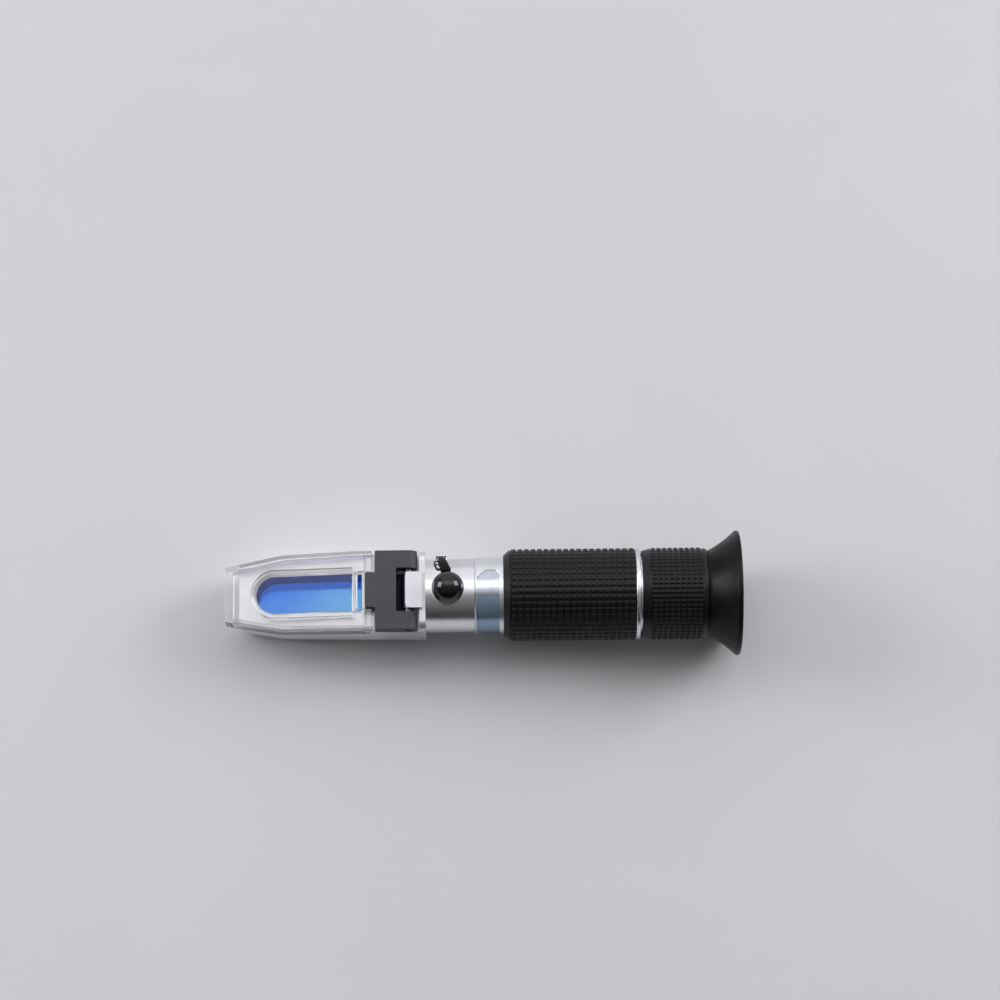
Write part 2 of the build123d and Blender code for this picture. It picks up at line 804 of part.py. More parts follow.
focus_ribs = ribbed(
    focus_ribs_start,
    focus_ribs_end,
    focus_radius,
    rubber_bore,
    focus_rib_count,
    rib_groove_width,
    rib_groove_depth,
)
focus_rear = turned(
    (focus_ribs_end, rubber_bore),
    (focus_end, rubber_bore),
    (focus_end, focus_radius - rib_groove_depth - focus_rim_chamfer),
    (focus_end - focus_rim_chamfer, focus_radius - rib_groove_depth),
    (focus_ribs_end, focus_radius - rib_groove_depth),
)
parts["focus_ring"] = focus_front + focus_ribs + focus_rear

# Eyepiece optics: two lenses with their curved sides facing each other
eye_x = throat_start - lens_seat - eye_edge
field_x = shell_start + field_setback
parts["eye_lens"] = lens(eye_x, eye_edge, eye_bulge, 0, shell_bore_radius)
parts["field_lens"] = lens(field_x, field_edge, 0, field_bulge, shell_bore_radius)
spacer_bore = shell_bore_radius - spacer_wall
spacer_front = field_x + field_edge + lens_seat
parts["lens_spacer"] = tube(spacer_front, eye_x - lens_seat, shell_bore_radius, spacer_bore)
parts["lens_retainer"] = tube(field_x - lens_retainer_length, field_x, shell_bore_radius, spacer_bore)

# Flared rubber eyecup on the spigot
lip_centre_r = eyecup_radius - eyecup_lip_radius
flare_rise = lip_centre_r - eyecup_neck_radius
lip_low = (rim_x + eyecup_lip_radius * 0.5, lip_centre_r - eyecup_lip_radius * 0.87)
cup_floor = focus_end + spigot_length
inner_start = (cup_floor, spigot_outer)
outer_curve = ThreePointArc(
    (focus_end, eyecup_neck_radius),
    ((focus_end + rim_x) / 2, eyecup_neck_radius + flare_rise * 0.45),
    (rim_x - eyecup_lip_radius * 0.6, lip_centre_r + eyecup_lip_radius * 0.8),
)
lip_curve = ThreePointArc(outer_curve @ 1, (total_length, lip_centre_r), lip_low)
inner_edges = Polyline(lip_low, inner_start, (focus_end, spigot_outer), (focus_end, eyecup_neck_radius))
parts["eyecup"] = revolve(make_face(outer_curve + lip_curve + inner_edges), axis=Axis.X)

# Lay the instrument down and put the origin under the middle of it
groups = {name: piece if isinstance(piece, list) else [piece] for name, piece in parts.items()}
lean = Rot(0, -lie_angle, 0)
span = Compound(children=[lean * solid for group in groups.values() for solid in group]).bounding_box()
laid = Pos(-span.center().X, -span.center().Y, -span.min.Z) * lean

os.makedirs("parts", exist_ok=True)
for name, group in groups.items():
    placed = [laid * solid for solid in group]
    shape = placed[0] if len(placed) == 1 else Compound(children=placed)
    export_step(shape, f"parts/{name}.step")
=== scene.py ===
import json
import math

import bpy
from bpy.props import FloatProperty, FloatVectorProperty, IntProperty, PointerProperty
from mathutils import Matrix, Vector

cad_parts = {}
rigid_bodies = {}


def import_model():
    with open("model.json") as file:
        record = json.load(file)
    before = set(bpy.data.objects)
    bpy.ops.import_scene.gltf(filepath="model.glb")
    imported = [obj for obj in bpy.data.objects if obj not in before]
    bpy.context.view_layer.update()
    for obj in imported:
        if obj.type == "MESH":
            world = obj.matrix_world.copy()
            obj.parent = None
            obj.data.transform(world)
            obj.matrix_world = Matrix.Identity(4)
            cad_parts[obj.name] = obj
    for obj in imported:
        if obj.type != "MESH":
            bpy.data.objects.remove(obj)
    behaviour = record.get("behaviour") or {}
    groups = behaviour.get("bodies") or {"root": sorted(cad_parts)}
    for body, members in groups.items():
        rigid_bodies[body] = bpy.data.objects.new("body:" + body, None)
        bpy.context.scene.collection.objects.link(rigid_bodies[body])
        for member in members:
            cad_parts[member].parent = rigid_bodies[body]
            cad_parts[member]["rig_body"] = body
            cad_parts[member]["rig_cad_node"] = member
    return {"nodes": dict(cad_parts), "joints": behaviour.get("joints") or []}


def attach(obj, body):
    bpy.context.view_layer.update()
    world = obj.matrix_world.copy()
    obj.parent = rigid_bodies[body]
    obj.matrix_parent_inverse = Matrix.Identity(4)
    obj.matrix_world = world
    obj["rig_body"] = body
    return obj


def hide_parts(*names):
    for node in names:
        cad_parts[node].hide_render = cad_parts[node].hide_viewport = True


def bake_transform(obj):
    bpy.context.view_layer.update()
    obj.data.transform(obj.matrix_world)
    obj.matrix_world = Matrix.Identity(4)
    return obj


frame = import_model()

bl_info = {
    "name": "Hand-held refractometer",
    "version": (1, 0, 0),
    "blender": (4, 5, 0),
    "location": "View3D > Sidebar > Refractometer",
    "description": "Dresses the refractometer in plated metal, ribbed rubber, clear plastic and glass",
    "category": "Object",
}

MM = 0.001

# Vertices closer than these are one vertex, and faces flatter than this are one face
DRAWN_WELD = 0.002 * MM
PACKED_WELD = 0.001 * MM
FLAT = math.radians(0.3)

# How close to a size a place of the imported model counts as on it
LEVEL = 0.05 * MM

# The optical frame: X along the axis from the cover's front lip, Y across, Z up through the cover
JOINTS = {joint["name"]: joint for joint in frame["joints"]}
AXIS = Vector(JOINTS["focus_turn"]["axis"]).normalized()
ACROSS = Vector(JOINTS["cover_hinge"]["axis"]).normalized()
UP = AXIS.cross(ACROSS)
ON_AXIS = Vector(JOINTS["focus_turn"]["pos_m"])
FRONT = min(AXIS.dot(v.co) for v in frame["nodes"]["cover_plate"].data.vertices)
ORIGIN = ON_AXIS + AXIS * (FRONT - AXIS.dot(ON_AXIS))
LAID = Matrix.Translation(ORIGIN) @ Matrix((AXIS, ACROSS, UP)).transposed().to_4x4()
LIE_ANGLE = math.atan2(AXIS.z, AXIS.x)


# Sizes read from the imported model


def places(node):
    """Vertices of a CAD node in the optical frame."""
    back = LAID.inverted()
    return [back @ v.co for v in frame["nodes"][node].data.vertices]


def span(node):
    """Lowest and highest corner of a CAD node in the optical frame."""
    corners = places(node)
    return tuple(Vector([pick(p[i] for p in corners) for i in range(3)]) for pick in (min, max))


def bore(node):
    return min(math.hypot(p.y, p.z) for p in places(node))


def radius_near(node, x):
    """Largest radius of a CAD node close to a place on the axis."""
    return max(math.hypot(p.y, p.z) for p in places(node) if abs(p.x - x) < LEVEL)


def ribbed_span(node):
    """Start and end of the ribs, where a sleeve has its full radius."""
    full = span(node)[1].z - LEVEL
    ribs = [p.x for p in places(node) if math.hypot(p.y, p.z) > full]
    return min(ribs), max(ribs)


# Modelling in the optical frame, with the tools of edit mode


def clear_selection():
    if bpy.context.mode != "OBJECT":
        bpy.ops.object.mode_set(mode="OBJECT")
    bpy.ops.object.select_all(action="DESELECT")


def only(piece):
    clear_selection()
    piece.select_set(True)
    bpy.context.view_layer.objects.active = piece


def settled(piece):
    only(piece)
    bpy.ops.object.transform_apply(location=True, rotation=True, scale=True)


def laid_down(piece):
    """Fixes the piece's place in its mesh, then turns it from the optical frame to the part's frame."""
    settled(piece)
    piece.matrix_world = LAID
    settled(piece)


def tidy_mesh(piece):
    only(piece)
    bpy.ops.object.mode_set(mode="EDIT")
    bpy.ops.mesh.select_all(action="SELECT")
    bpy.ops.mesh.remove_doubles(threshold=DRAWN_WELD)
    bpy.ops.mesh.normals_make_consistent(inside=False)
    bpy.ops.object.mode_set(mode="OBJECT")


def soften(piece, width, segments=2, angle=30):
    """Rounds the edges sharper than the angle, then shades the rest smooth."""
    only(piece)
    bevel = piece.modifiers.new("rounded edges", "BEVEL")
    bevel.limit_method = "ANGLE"
    bevel.angle_limit = math.radians(angle)
    bevel.width = width
    bevel.segments = segments
    bevel.use_clamp_overlap = True
    bpy.ops.object.modifier_apply(modifier=bevel.name)
    bpy.ops.object.shade_smooth_by_angle(angle=math.radians(angle))
    flat = piece.modifiers.new("flat faces", "WEIGHTED_NORMAL")
    flat.keep_sharp = True
    bpy.ops.object.modifier_apply(modifier=flat.name)


def refined(node, name, width, segments=2, angle=30):
    """Copy of a CAD node with its facets merged and its edges rounded."""
    only(frame["nodes"][node])
    bpy.ops.object.duplicate()
    piece = bpy.context.active_object
    piece.name = piece.data.name = name
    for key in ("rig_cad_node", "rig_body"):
        del piece[key]
    piece.parent = None
    bpy.ops.object.mode_set(mode="EDIT")
    bpy.ops.mesh.select_all(action="SELECT")
    bpy.ops.mesh.customdata_custom_splitnormals_clear()
    bpy.ops.mesh.remove_doubles(threshold=PACKED_WELD)
    bpy.ops.mesh.dissolve_limited(angle_limit=FLAT)
    bpy.ops.object.mode_set(mode="OBJECT")
    soften(piece, width, segments, angle)
    return piece


def turned(name, outline, steps=128):
    """Ring: a circle extruded and scaled from point to point of a closed (x, radius) outline."""
    clear_selection()
    x, radius = outline[0]
    bpy.ops.mesh.primitive_circle_add(
        vertices=steps, radius=radius, location=(x, 0, 0), rotation=(0, math.pi / 2, 0)
    )
    piece = bpy.context.active_object
    piece.name = piece.data.name = name
    settled(piece)
    bpy.ops.object.mode_set(mode="EDIT")
    bpy.ops.mesh.select_mode(type="EDGE")
    bpy.ops.mesh.select_all(action="SELECT")
    for x_next, radius_next in [*outline[1:], outline[0]]:
        bpy.ops.mesh.extrude_region_move(TRANSFORM_OT_translate={"value": (x_next - x, 0, 0)})
        scale = radius_next / radius
        bpy.ops.transform.resize(value=(1, scale, scale), center_override=(x_next, 0, 0))
        x, radius = x_next, radius_next
    bpy.ops.object.mode_set(mode="OBJECT")
    tidy_mesh(piece)
    return piece


def arc(centre, radius, start, end, steps):
    """Points of an arc in the (x, radius) plane; angles in degrees from the +X direction."""
    turns = [math.radians(start + (end - start) * n / steps) for n in range(steps + 1)]
    return [(centre[0] + radius * math.cos(a), centre[1] + radius * math.sin(a)) for a in turns]


def curve_through(start, middle, end, steps):
    """Points of the parabola through three points of an outline."""
    bend = [2 * m - (s + e) / 2 for s, m, e in zip(start, middle, end)]

    def point(t):
        return tuple(
            s * (1 - t) ** 2 + 2 * b * t * (1 - t) + e * t**2 for s, b, e in zip(start, bend, end)
        )

    return [point(n / steps) for n in range(steps + 1)]


def joined(name, pieces):
    clear_selection()
    for piece in pieces:
        piece.select_set(True)
    bpy.context.view_layer.objects.active = pieces[0]
    bpy.ops.object.join()
    whole = bpy.context.active_object
    whole.name = whole.data.name = name
    return whole


def knurled_sheet(name, x_start, x_end, radius, columns, rows, groove, depth):
    """Sheet of raised tiles: each face of a drum is inset and raised, with soft shoulders."""
    clear_selection()
    bpy.ops.mesh.primitive_cylinder_add(
        vertices=rows,
        radius=(radius - depth) / math.cos(math.pi / rows),
        depth=x_end - x_start,
        end_fill_type="NOTHING",
        location=((x_start + x_end) / 2, 0, 0),
        rotation=(0, math.pi / 2, 0),
    )
    sheet = bpy.context.active_object
    sheet.name = sheet.data.name = name
    settled(sheet)
    bpy.ops.object.mode_set(mode="EDIT")
    bpy.ops.mesh.select_mode(type="EDGE")
    bpy.ops.mesh.select_all(action="DESELECT")
    bpy.ops.object.mode_set(mode="OBJECT")
    for edge in sheet.data.edges:
        a, b = (sheet.data.vertices[v].co for v in edge.vertices)
        edge.select = abs(a.x - b.x) > groove
    bpy.ops.object.mode_set(mode="EDIT")
    bpy.ops.mesh.subdivide(number_cuts=columns - 1)
    bpy.ops.mesh.select_mode(type="FACE")
    bpy.ops.mesh.select_all(action="SELECT")
    gap, flank, shoulder = (1 / 2, 0), (1 / 8, 3 / 4), (1 / 4, 1 / 4)
    for inset, rise in (gap, flank, shoulder):
        bpy.ops.mesh.inset(thickness=groove * inset, depth=depth * rise, use_individual=True)
    bpy.ops.object.mode_set(mode="OBJECT")
    return sheet


def sleeve(name, node):
    """Ribbed rubber sleeve: smooth rims and bore, with a sheet of tiles round it."""
    s = settings().rubber
    grip, focus = (s.grip_columns, s.grip_rows), (s.focus_columns, s.focus_rows)
    columns, rows = grip if node == "grip_sleeve" else focus
    low, high = span(node)
    inner = bore(node)
    floor = high.z - s.depth
    front_rim, rear_rim = floor + s.depth * 0.6, floor + s.depth * 0.4
    ribs_start, ribs_end = ribbed_span(node)
    tiles = knurled_sheet(name, ribs_start, ribs_end, high.z, columns, rows, s.groove, s.depth)
    outline = [
        (low.x, inner),
        (low.x, radius_near(node, low.x)),
        (ribs_start - s.groove / 2, front_rim),
        (ribs_start, floor),
        (ribs_end, floor),
    ]
    if high.x - ribs_end > s.groove:
        outline += [(ribs_end + s.groove / 2, rear_rim), (high.x - s.groove, rear_rim), (high.x, floor)]
    outline += [(high.x, inner)]
    body = turned(name + "_body", outline)
    soften(body, s.rim_edge, segments=3)
    whole = joined(name, [tiles, body])
    laid_down(whole)
    bpy.ops.object.shade_smooth_by_angle(angle=math.radians(35))
    return whole


# Procedural finishes


class Finish:
    """Material built from nodes on Object coordinates, turned to the optical frame."""

    def __init__(self, name, **sockets):
        self.material = bpy.data.materials.new(name)
        self.material.use_nodes = True
        self.tree = self.material.node_tree
        self.shader = self.tree.nodes["Principled BSDF"]
        for socket, value in sockets.items():
            self.shader.inputs[socket.replace("_", " ")].default_value = value
        coordinates = self.node("ShaderNodeTexCoord")
        mapping = self.node("ShaderNodeMapping", vector_type="TEXTURE")
        mapping.inputs["Location"].default_value = ORIGIN
        mapping.inputs["Rotation"].default_value = (0, -LIE_ANGLE, 0)
        self.link(coordinates.outputs["Object"], mapping.inputs["Vector"])
        self.place = mapping.outputs["Vector"]

    def node(self, kind, **values):
        made = self.tree.nodes.new(kind)
        for key, value in values.items():
            setattr(made, key, value)
        return made

    def link(self, output, socket):
        self.tree.links.new(output, socket)

    def noise(self, grain, detail=4, stretch=(1, 1, 1)):
        """Cloudy pattern whose features are about grain metres wide."""
        scaled = self.node("ShaderNodeMapping")
        scaled.inputs["Scale"].default_value = stretch
        self.link(self.place, scaled.inputs["Vector"])
        made = self.node("ShaderNodeTexNoise")
        made.inputs["Scale"].default_value = 1 / grain
        made.inputs["Detail"].default_value = detail
        self.link(scaled.outputs["Vector"], made.inputs["Vector"])
        return made.outputs["Fac"]

    def ramp(self, value, low, high, start=0.0, end=1.0):
        """Value between two ends as a number between start and end."""
        made = self.node("ShaderNodeMapRange", clamp=True, interpolation_type="SMOOTHSTEP")
        for key, number in zip(("From Min", "From Max", "To Min", "To Max"), (low, high, start, end)):
            made.inputs[key].default_value = number
        self.link(value, made.inputs["Value"])
        return made.outputs["Result"]

    def math(self, operation, first, second):
        """Sum, product or the like of two outputs, or of an output and a number."""
        made = self.node("ShaderNodeMath", operation=operation)
        self.link(first, made.inputs[0])
        if isinstance(second, bpy.types.NodeSocket):
            self.link(second, made.inputs[1])
        else:
            made.inputs[1].default_value = second
        return made.outputs[0]

    def product(self, first, *others):
        for other in others:
            first = self.math("MULTIPLY", first, other)
        return first

    def length(self, **sides):
        """Length of the vector that has the given X, Y or Z outputs."""
        vector = self.node("ShaderNodeCombineXYZ")
        for letter, output in sides.items():
            self.link(output, vector.inputs[letter])
        made = self.node("ShaderNodeVectorMath", operation="LENGTH")
        self.link(vector.outputs["Vector"], made.inputs[0])
        return made.outputs["Value"]

    def along(self, letter):
        """Distance along X, Y or Z of the optical frame."""
        parts = self.node("ShaderNodeSeparateXYZ")
        self.link(self.place, parts.inputs["Vector"])
        return parts.outputs[letter]

    def blend(self, fraction, first, second):
        """Colour between two colours, each a value or another output."""
        made = self.node("ShaderNodeMix", data_type="RGBA", clamp_factor=True)
        self.link(fraction, made.inputs["Factor"])
        for socket, colour in (("A", first), ("B", second)):
            entry = next(i for i in made.inputs if i.name == socket and i.type == "RGBA")
            if isinstance(colour, bpy.types.NodeSocket):
                self.link(colour, entry)
            else:
                entry.default_value = (*colour, 1)
        return next(o for o in made.outputs if o.type == "RGBA")

    def clouds(self):
        """Faint clouding of cast or plated metal, from 0 to 1."""
        return self.ramp(self.noise(6 * MM, detail=3), 0.35, 0.7)

    def smears(self, smooth, rough):
        """Roughness of handled metal, wandering between two values."""
        return self.ramp(self.noise(2.5 * MM, detail=6), 0.3, 0.75, smooth, rough)

    def colour(self, output):
        self.link(output, self.shader.inputs["Base Color"])

    def roughness(self, output):
        self.link(output, self.shader.inputs["Roughness"])

    def bump(self, height, depth):
        """Relief of the given depth in metres."""
        made = self.node("ShaderNodeBump")
        made.inputs["Distance"].default_value = depth
        self.link(height, made.inputs["Height"])
        self.link(made.outputs["Normal"], self.shader.inputs["Normal"])

    def turning_marks(self):
        """Fine rings round the axis, as a lathe leaves them."""
        self.bump(self.noise(0.25 * MM, detail=2, stretch=(1, 0.05, 0.05)), depth=0.0006 * MM)


def shade(colour, factor):
    return tuple(channel * factor for channel in colour)


def linear(*channels):
    """Linear values of an sRGB colour given in 255ths, by the standard's own curve."""
    values = [c / 255 for c in channels]
    return tuple(v / 12.92 if v <= 0.04045 else ((v + 0.055) / 1.055) ** 2.4 for v in values)


def plated(name, colour, rough, brushed=0.0):
    """Plated metal: turning marks, faint clouding and fingerprints in its gloss."""
    finish = Finish(name, Metallic=1.0, Anisotropic=brushed)
    if brushed:
        round_axis = finish.node("ShaderNodeTangent", direction_type="RADIAL", axis="X")
        finish.link(round_axis.outputs["Tangent"], finish.shader.inputs["Tangent"])
    finish.colour(finish.blend(finish.clouds(), colour, shade(colour, 0.94)))
    finish.roughness(finish.smears(rough, rough + 0.04))
    finish.turning_marks()
    return finish.material


def cast_box(name, pad, lug, pocket_shade, rough, hinge_start, lug_front, lug_half_width, lug_top):
    """Plated casting: white under the cover, plain by the hinge, with painted shade, near black, ahead
    of the lug.
    """
    finish = Finish(name, Metallic=1.0)
    x = finish.along("X")
    off_axis = finish.math("ABSOLUTE", finish.along("Y"), 0)
    blend_start, blend_end = hinge_start - 5 * MM, hinge_start + 8 * MM
    # Painted shade: near black in the gap ahead of the lug, under the hinge block, where shade falls
    pocket_start, pocket_end = hinge_start + 2 * MM, lug_front + 1.5 * MM
    pocket_top = lug_top - 0.3 * MM
    metal = finish.blend(finish.ramp(x, blend_start, blend_end), pad, lug)
    behind = finish.ramp(x, pocket_start, pocket_start + 0.5 * MM)
    ahead = finish.ramp(x, pocket_end - 0.2 * MM, pocket_end, 1, 0)
    beside = finish.ramp(off_axis, lug_half_width, lug_half_width + 1 * MM, 1, 0)
    below = finish.ramp(finish.along("Z"), pocket_top - 0.2 * MM, pocket_top, 1, 0)
    cast = finish.blend(finish.product(ahead, behind, beside, below), metal, pocket_shade)
    finish.colour(finish.blend(finish.product(finish.clouds(), 0.06), cast, pocket_shade))
    finish.roughness(finish.smears(rough, rough + 0.06))
    finish.bump(finish.noise(0.15 * MM, detail=2), depth=0.0008 * MM)
    return finish.material


def lacquered_recess(name, colour, tint, near_shade, rough, low, high, depth):
    """Bright plating with a blue-grey lacquer on the floor of the band between low.x and high.x, and
    painted shade, darker and less metallic, on the near half of that floor.
    """
    finish = Finish(name, Metallic=1.0)
    radius = finish.length(Y=finish.along("Y"), Z=finish.along("Z"))
    front_wall = low.x + 0.5 * MM
    floor = finish.ramp(radius, high.z - depth * 0.8, high.z - depth * 0.6, 1, 0)
    inside = finish.product(floor, finish.ramp(finish.along("X"), front_wall, front_wall + 0.1 * MM))
    cloud = finish.ramp(finish.noise(3 * MM), 0.3, 0.7)
    # Painted shade: the near half of the recess floor goes over to a darker blue-grey and keeps only
    # part of its metal sheen
    nearward = finish.ramp(finish.along("Y"), -high.y * 0.1, -high.y * 0.35)
    lacquer = finish.blend(nearward, finish.blend(cloud, tint, shade(tint, 0.9)), near_shade)
    finish.colour(finish.blend(inside, colour, lacquer))
    painted = finish.ramp(finish.product(inside, nearward), 0, 1, 1, 0.6)
    finish.link(painted, finish.shader.inputs["Metallic"])
    smears, smoother = finish.smears(rough * 1.6, rough * 1.8), finish.product(inside, rough * 0.7)
    finish.roughness(finish.math("SUBTRACT", smears, smoother))
    finish.turning_marks()
    return finish.material


def rubber(name, colour, rough, gloss=0.2):
    """Moulded rubber: matt skin with dust, paler rubbed patches and a fine grain."""
    finish = Finish(name, Specular_IOR_Level=gloss)
    rubbed = finish.ramp(finish.noise(9 * MM, detail=5), 0.45, 0.75)
    dust = finish.ramp(finish.noise(0.35 * MM, detail=2), 0.68, 0.78, 0, 0.4)
    worn = finish.blend(rubbed, colour, shade(colour, 1.5))
    finish.colour(finish.blend(dust, worn, shade(colour, 3)))
    finish.roughness(finish.ramp(finish.noise(4 * MM, detail=5), 0.3, 0.7, rough, rough + 0.12))
    finish.bump(finish.noise(0.12 * MM, detail=3), depth=0.008 * MM)
    return finish.material


def satin_plastic(name, colour, rough):
    """Glass-filled plastic with a spark-eroded skin."""
    finish = Finish(name)
    flow = finish.ramp(finish.noise(7 * MM, stretch=(0.3, 1, 1)), 0.35, 0.7)
    finish.colour(finish.blend(flow, colour, shade(colour, 0.88)))
    finish.roughness(finish.ramp(finish.noise(1.5 * MM, detail=5), 0.3, 0.7, rough, rough + 0.12))
    finish.bump(finish.noise(0.1 * MM, detail=2), depth=0.01 * MM)
    return finish.material


def gloss_plastic(name, colour, rough, gloss=0.4):
    """Polished moulding with hair scratches and a little dust."""
    finish = Finish(name, Specular_IOR_Level=gloss)
    dust = finish.ramp(finish.noise(0.3 * MM, detail=2), 0.7, 0.8, 0, 0.3)
    finish.colour(finish.blend(dust, colour, shade(colour, 1.5)))
    finish.roughness(finish.ramp(finish.noise(2 * MM, detail=6), 0.35, 0.75, rough, rough + 0.1))
    finish.bump(finish.noise(0.4 * MM, stretch=(1, 0.1, 1)), depth=0.0005 * MM)
    return finish.material


def clear(name, colour, rough, index, wall_shade):
    """Clear plastic or glass with faint haze and hair scratches, darker in its sideways faces by painted
    shade.
    """
    finish = Finish(name, Transmission_Weight=1.0, IOR=index, Specular_IOR_Level=0.12)
    haze = finish.ramp(finish.noise(5 * MM), 0.4, 0.75)
    body = finish.blend(haze, colour, shade(colour, 0.985))
    # Painted shade: faces that stand sideways are tinted darker, like clear edges with dark surroundings
    # behind them
    facing = finish.node("ShaderNodeSeparateXYZ")
    normals = finish.node("ShaderNodeTexCoord")
    finish.link(normals.outputs["Normal"], facing.inputs["Vector"])
    sideways = finish.ramp(finish.math("ABSOLUTE", facing.outputs["Z"], 0), 0.3, 0.6, 1, 0)
    finish.colour(finish.blend(sideways, body, wall_shade))
    scratch = finish.ramp(finish.noise(0.5 * MM, detail=6, stretch=(0.15, 1, 1)), 0.6, 0.72)
    finish.roughness(finish.ramp(scratch, 0, 1, rough, rough + 0.03))
    finish.bump(finish.noise(4 * MM, detail=2), depth=0.0015 * MM)
    return finish.material


def prism_glass(name, colours, low, high, strip):
    """Blue glass, paler towards its rear and its near side, with painted shade along its far edge, where
    its far wall is seen in shade through the glass, and a white strip across.
    """
    finish = Finish(name, IOR=1.52, Metallic=0.6)
    x, width = finish.along("X"), high.y

    def inside(along, across, blur):
        """1 within the window's outline shifted by some millimetres, 0 outside it."""
        past_arc = finish.math("SUBTRACT", x, low.x + width + along * MM)
        ahead = finish.math("MINIMUM", past_arc, 0.0)
        radius = finish.length(X=ahead, Y=finish.math("SUBTRACT", finish.along("Y"), across * MM))
        return finish.ramp(radius, width - blur * MM, width + blur * MM, 1, 0)

    cloud = finish.ramp(finish.noise(5 * MM, detail=3), 0.3, 0.7, -0.06, 0.06)
    rearward = finish.ramp(x, low.x, high.x, 0, 0.75)
    nearward = finish.ramp(finish.along("Y"), width, -width, 0, 0.35)
    paleness = finish.math("ADD", finish.math("ADD", rearward, nearward), cloud)
    body = finish.blend(paleness, colours.prism_deep[:], colours.prism_pale[:])
    # Painted shade along the far edge and its rounded end: a dark band, a thin darker line and a darker
    # edge, where the far wall is seen in shade through the glass
    far_band_shade = finish.blend(inside(along=0.6, across=-4.6, blur=0.5), colours.prism_far_band_shade[:], body)
    edge, corner = colours.prism_far_edge_shade[:], shade(colours.prism_far_edge_shade[:], 0.7)
    wall = finish.blend(inside(along=0.9, across=-2.3, blur=0.05), corner, far_band_shade)
    glass = finish.blend(inside(along=0.75, across=-2.0, blur=0.05), edge, wall)
    strip_start, strip_end, blur = high.x - 2 * strip, high.x - strip, 0.1 * MM
    behind = finish.ramp(x, strip_start, strip_start + blur)
    ahead = finish.ramp(x, strip_end, strip_end + blur, 1, 0)
    finish.colour(finish.blend(finish.product(behind, ahead), glass, colours.casting[:]))
    finish.roughness(finish.ramp(finish.noise(1.2 * MM, detail=5), 0.3, 0.7, 0.3, 0.36))
    finish.bump(finish.noise(0.5 * MM, stretch=(0.2, 1, 1)), depth=0.0005 * MM)
    return finish.material


def dress(node, material):
    """Gives a CAD node's own object the material."""
    slots = frame["nodes"][node].data.materials
    slots.clear()
    slots.append(material)


def mounted(piece, body, material, node):
    """Puts the finished piece on its body, in place of the node that it stands for."""
    piece.data.materials.clear()
    piece.data.materials.append(material)
    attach(piece, body)
    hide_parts(node)


# Sizes and colours that a user would change


def colour_value(name, description, *channels):
    """Colour setting, its default given in 255ths of sRGB."""
    default = linear(*channels)
    return FloatVectorProperty(name=name, description=description, subtype="COLOR", default=default)


def length_value(name, description, default):
    """Length setting, shown to a hundredth of a millimetre."""
    return FloatProperty(name=name, description=description, default=default, unit="LENGTH", precision=5)


def angle_value(name, description, degrees):
    """Angle setting, its default given in degrees."""
    default = math.radians(degrees)
    return FloatProperty(name=name, description=description, default=default, subtype="ANGLE")


def place_value(name, description, *default):
    """Place setting, with X, Y and Z in metres."""
    return FloatVectorProperty(
        name=name, description=description, subtype="TRANSLATION", default=default
    )


def size_value(name, description, *default):
    """Width and height of a lamp."""
    return FloatVectorProperty(
        name=name, description=description, size=2, unit="LENGTH", default=default
    )


def strength_value(name, description, default):
    """Setting for a lamp's power or a background's strength."""
    return FloatProperty(name=name, description=description, default=default, min=0)


def share_value(name, description, default):
    """Setting between 0 and 1."""
    return FloatProperty(name=name, description=description, default=default, min=0, max=1)


def count_value(name, description, default, least=1):
    """Setting for a number of copies."""
    return IntProperty(name=name, description=description, default=default, min=least)


class FinishSettings(bpy.types.PropertyGroup):
    chrome: colour_value("Plating", "Colour of the plated metal", 232, 233, 238)
    casting: colour_value("Casting", "Colour of the prism box", 250, 250, 252)
    lug: colour_value("Hinge lug", "Colour of the hinge lug", 218, 219, 225)
    # Painted shade for the gap ahead of the hinge lug
    pocket_shade: colour_value("Pocket", "Colour of the pocket ahead of the lug", 34, 33, 44)
    lacquer: colour_value("Recess", "Colour of the collar's recess", 208, 212, 226)
    # Painted shade for the near half of the recess
    lacquer_near_shade: colour_value("Recess, near", "Colour of its near half", 148, 170, 197)
    chrome_roughness: share_value("Plating roughness", "Sheen of the turned parts", 0.2)
    casting_roughness: share_value("Casting roughness", "Sheen of the prism box", 0.42)
    rubber: colour_value("Rubber", "Colour of the grips", 14, 14, 16)
    eyecup: colour_value("Eyecup", "Colour of the eyecup", 10, 10, 12)
    hinge: colour_value("Hinge block", "Colour of the hinge block", 62, 63, 69)
    cap: colour_value("Cap", "Colour of the calibration cap", 4, 4, 6)
    prism_deep: colour_value("Prism front", "Colour of the prism's front end", 14, 113, 252)
    prism_pale: colour_value("Prism rear", "Colour of the prism's rear end", 110, 189, 255)
    # Painted shade along the prism's far edge, where its far wall is seen in shade through the glass
    prism_far_band_shade: colour_value("Prism step", "Colour of the prism's inner step", 14, 94, 206)
    prism_far_edge_shade: colour_value("Prism edge", "Colour along the prism's far edge", 4, 42, 126)


class RubberSettings(bpy.types.PropertyGroup):
    grip_columns: count_value("Grip columns", "Tiles along the grip", 19)
    grip_rows: count_value("Grip rows", "Tiles round the grip", 43, least=8)
    focus_columns: count_value("Focus columns", "Tiles along the focus ring", 9)
    focus_rows: count_value("Focus rows", "Tiles round the focus ring", 60, least=8)
    groove: length_value("Groove", "Width between tiles", 0.45 * MM)
    depth: length_value("Depth", "Height of a tile", 0.5 * MM)
    rim_edge: length_value("Rim edge", "Edge radius of the rims", 0.2 * MM)
    lip: length_value("Eyecup lip", "Radius of the rolled lip", 0.9 * MM)
    fillet: length_value("Eyecup fillet", "Size of the fillet at the neck", 0.8 * MM)
    cup_depth: length_value("Eyecup depth", "From the lip to the cup's floor", 6.5 * MM)


